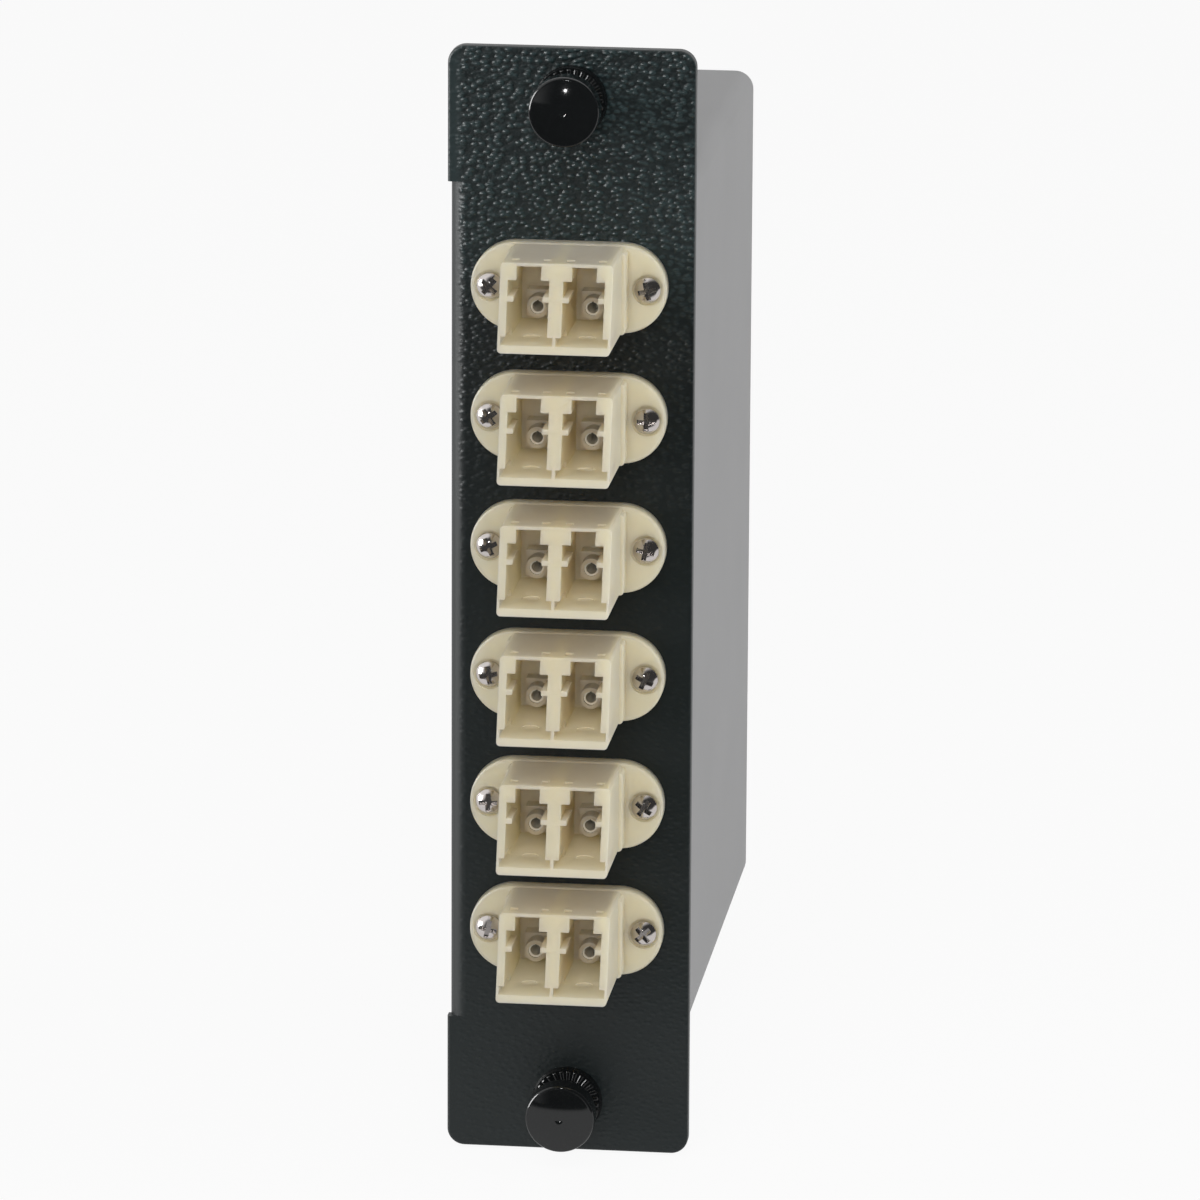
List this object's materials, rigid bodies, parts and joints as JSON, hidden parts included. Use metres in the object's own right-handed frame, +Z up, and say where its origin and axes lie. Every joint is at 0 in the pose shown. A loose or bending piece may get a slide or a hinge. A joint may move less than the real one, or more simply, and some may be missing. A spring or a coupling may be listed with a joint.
{
  "type": "fibre cassette",
  "caption": "Rack-panel fibre cassette: duplex LC adapters on a black latch-in front panel, grey folded case behind, MPO adapter at the rear.",
  "frame": {"origin": "middle of the front panel's rear face, which seats on the rack frame", "axes": "+X right seen from the front, +Y back into the rack, +Z up"},
  "size_m": [0.0282, 0.0933, 0.13],
  "materials": {
    "black_paint": "pebbled powder coat",
    "grey_paint": "smooth matt grey paint",
    "beige_plastic": "satin moulded beige",
    "gloss_black_plastic": "glossy nylon",
    "black_plastic": "satin moulded",
    "plug_plastic": "satin moulded beige",
    "screw_nickel": "bright nickel plate",
    "zirconia": "polished",
    "lead_jacket": "aqua jacket"
  },
  "bodies": {
    "case": {"chassis": "black_paint", "side_cover": "grey_paint", "cover_screws": "screw_nickel", "adapter_screws": "screw_nickel", "adapter_nuts": "screw_nickel", "mpo_adapter": "black_plastic", "mpo_screws": "screw_nickel", "mpo_nuts": "screw_nickel", "mpo_plug": "black_plastic", "fibre_leads": "lead_jacket", "fan_out_block": "black_plastic", "fibre_ribbon": "lead_jacket", "upper_grommet": "gloss_black_plastic", "lower_grommet": "gloss_black_plastic", "adapter_1_front": "beige_plastic", "adapter_1_rear": "beige_plastic", "sleeve_pair_1": "zirconia", "plug_pair_1": "plug_plastic", "adapter_2_front": "beige_plastic", "adapter_2_rear": "beige_plastic", "sleeve_pair_2": "zirconia", "plug_pair_2": "plug_plastic", "adapter_3_front": "beige_plastic", "adapter_3_rear": "beige_plastic", "sleeve_pair_3": "zirconia", "plug_pair_3": "plug_plastic", "adapter_4_front": "beige_plastic", "adapter_4_rear": "beige_plastic", "sleeve_pair_4": "zirconia", "plug_pair_4": "plug_plastic", "adapter_5_front": "beige_plastic", "adapter_5_rear": "beige_plastic", "sleeve_pair_5": "zirconia", "plug_pair_5": "plug_plastic", "adapter_6_front": "beige_plastic", "adapter_6_rear": "beige_plastic", "sleeve_pair_6": "zirconia", "plug_pair_6": "plug_plastic"},
    "upper_plunger": {"upper_plunger": "gloss_black_plastic"},
    "lower_plunger": {"lower_plunger": "gloss_black_plastic"}
  },
  "joints": [
    {"name": "upper_plunger_push", "type": "slide", "parent": "case", "child": "upper_plunger", "axis": [0, 1, 0], "range_m": [0, 0.004]},
    {"name": "lower_plunger_push", "type": "slide", "parent": "case", "child": "lower_plunger", "axis": [0, 1, 0], "range_m": [0, 0.004]}
  ]
}
